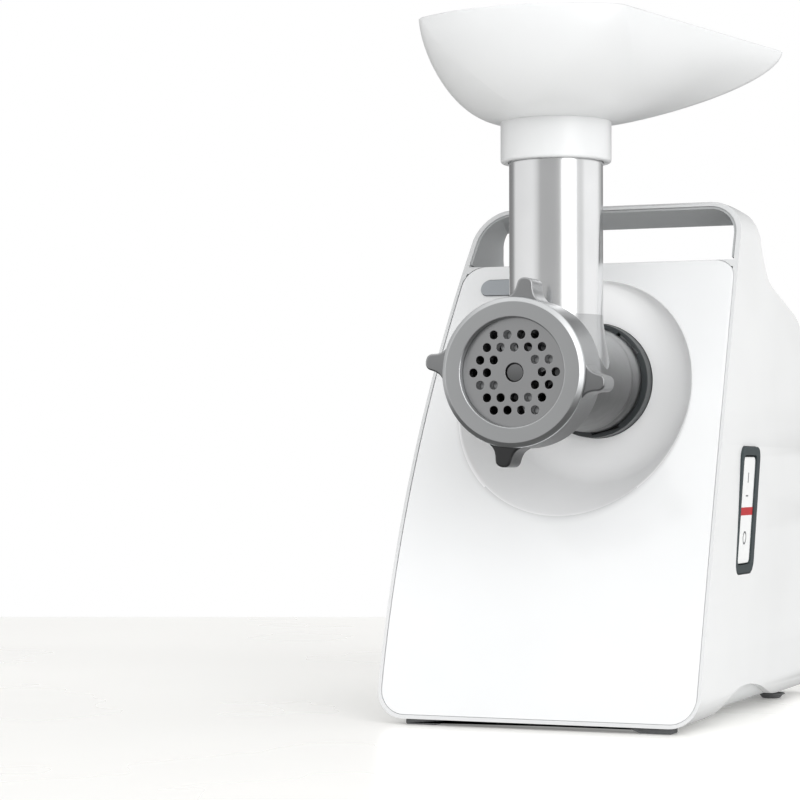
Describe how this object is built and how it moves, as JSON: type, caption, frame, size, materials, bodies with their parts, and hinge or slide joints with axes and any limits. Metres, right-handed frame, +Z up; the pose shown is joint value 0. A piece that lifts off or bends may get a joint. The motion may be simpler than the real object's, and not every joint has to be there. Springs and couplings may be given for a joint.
{
  "type": "electric meat grinder",
  "caption": "Electric meat grinder: leaning white casing with loop handle, side rocker switch, metal mincing head with winged ring nut, and a white filling tray.",
  "frame": {"origin": "on the worktop, in the middle of the bounding box in X and Y", "axes": "+Z up; -Y is the front, where the mince comes out; +X is the side with the power switch"},
  "size_m": [0.172, 0.281, 0.33],
  "materials": {
    "casing_white": "moulded white plastic, semi-gloss",
    "panel_white": "high-gloss white plastic",
    "handle_grey": "fine-textured grey plastic",
    "base_grey": "light grey plastic",
    "foot_rubber": "soft rubber",
    "dark_plastic": "satin dark grey plastic",
    "rocker_white": "gloss white plastic with marks and a red stripe",
    "button_grey": "satin grey plastic",
    "nylon": "natural nylon",
    "steel": "ground steel",
    "lamination": "stacked electrical steel",
    "bronze": "sintered bronze",
    "copper_wire": "enamelled copper wire",
    "board_green": "printed circuit board",
    "cast_aluminium": "satin cast and turned aluminium",
    "tray_white": "smooth white plastic, slightly translucent"
  },
  "bodies": {
    "casing": {"body_shell": "casing_white", "handle_liner": "handle_grey", "front_panel": "panel_white", "rear_cover": "casing_white", "base_plate": "base_grey", "front_foot": "foot_rubber", "rear_foot_left": "foot_rubber", "rear_foot_right": "foot_rubber", "switch_bezel": "dark_plastic", "switch_body": "dark_plastic", "drive_socket": "dark_plastic", "cord_gland": "foot_rubber", "gearbox_front_plate": "steel", "gearbox_rear_plate": "steel", "output_bush": "bronze", "idler_axle_upper": "steel", "idler_axle_lower": "steel", "motor_bearing_front": "steel", "motor_bearing_rear": "bronze", "stator": "lamination", "field_coil_upper": "copper_wire", "field_coil_lower": "copper_wire", "brush_holder_left": "dark_plastic", "brush_holder_right": "dark_plastic", "motor_rear_bracket": "steel", "motor_bolt_left": "steel", "motor_bolt_right": "steel", "circuit_board": "board_green", "base_screw_1": "steel", "base_screw_2": "steel", "base_screw_3": "steel", "base_screw_4": "steel"},
    "rocker": {"power_rocker": "rocker_white"},
    "release": {"release_button": "button_grey", "latch_bar": "nylon", "latch_spring": "steel"},
    "motor_rotor": {"armature": "lamination", "motor_shaft": "steel", "motor_pinion": "steel", "commutator": "copper_wire", "cooling_fan": "nylon"},
    "lower_idler": {"idler_gear_lower": "nylon"},
    "upper_idler": {"idler_gear_upper": "nylon"},
    "output": {"output_shaft": "steel", "output_gear": "nylon"},
    "auger_set": {"auger": "cast_aluminium", "auger_drive_end": "dark_plastic", "knife": "steel"},
    "head": {"head_casting": "cast_aluminium"},
    "plate": {"perforated_plate": "steel"},
    "nut": {"ring_nut": "cast_aluminium"},
    "tray": {"filling_tray": "tray_white"}
  },
  "joints": [
    {"name": "power_switch", "type": "hinge", "parent": "casing", "child": "rocker", "pos_m": [0.0715, -0.0142, 0.1006], "axis": [0, -1, 0], "range_deg": [-5, 5]},
    {"name": "head_release", "type": "slide", "parent": "casing", "child": "release", "axis": [0, 1, 0], "range_m": [0, 0.0035], "stiffness_N_per_m": 700, "springref_m": -0.002},
    {"name": "motor_spin", "type": "hinge", "parent": "casing", "child": "motor_rotor", "pos_m": [0, 0, 0.062], "axis": [0, 1, 0], "continuous": true},
    {"name": "lower_idler_spin", "type": "hinge", "parent": "casing", "child": "lower_idler", "pos_m": [0.01492, 0, 0.09641], "axis": [0, 1, 0], "continuous": true},
    {"name": "upper_idler_spin", "type": "hinge", "parent": "casing", "child": "upper_idler", "pos_m": [-0.014, 0, 0.12028], "axis": [0, 1, 0], "continuous": true},
    {"name": "output_spin", "type": "hinge", "parent": "casing", "child": "output", "pos_m": [0, 0, 0.1641], "axis": [0, 1, 0], "continuous": true},
    {"name": "auger_spin", "type": "hinge", "parent": "casing", "child": "auger_set", "pos_m": [0, 0, 0.1641], "axis": [0, 1, 0], "continuous": true},
    {"name": "head_turn", "type": "hinge", "parent": "casing", "child": "head", "pos_m": [0, 0, 0.1641], "axis": [0, 1, 0], "range_deg": [0, 45]},
    {"name": "plate_out", "type": "slide", "parent": "head", "child": "plate", "axis": [0, -1, 0], "range_m": [0, 0.007]},
    {"name": "nut_turn", "type": "hinge", "parent": "plate", "child": "nut", "pos_m": [0, 0, 0.1641], "axis": [0, -1, 0], "range_deg": [0, 720]},
    {"name": "tray_lift", "type": "slide", "parent": "head", "child": "tray", "axis": [0, 0, 1], "range_m": [0, 0.06]}
  ],
  "couplings": [
    {"joint": "lower_idler_spin", "follows": "motor_spin", "ratio": -0.25},
    {"joint": "upper_idler_spin", "follows": "motor_spin", "ratio": 0.0625},
    {"joint": "output_spin", "follows": "motor_spin", "ratio": -0.017361},
    {"joint": "auger_spin", "follows": "motor_spin", "ratio": -0.017361},
    {"joint": "plate_out", "follows": "nut_turn", "m_per_rad": 0.0005}
  ]
}
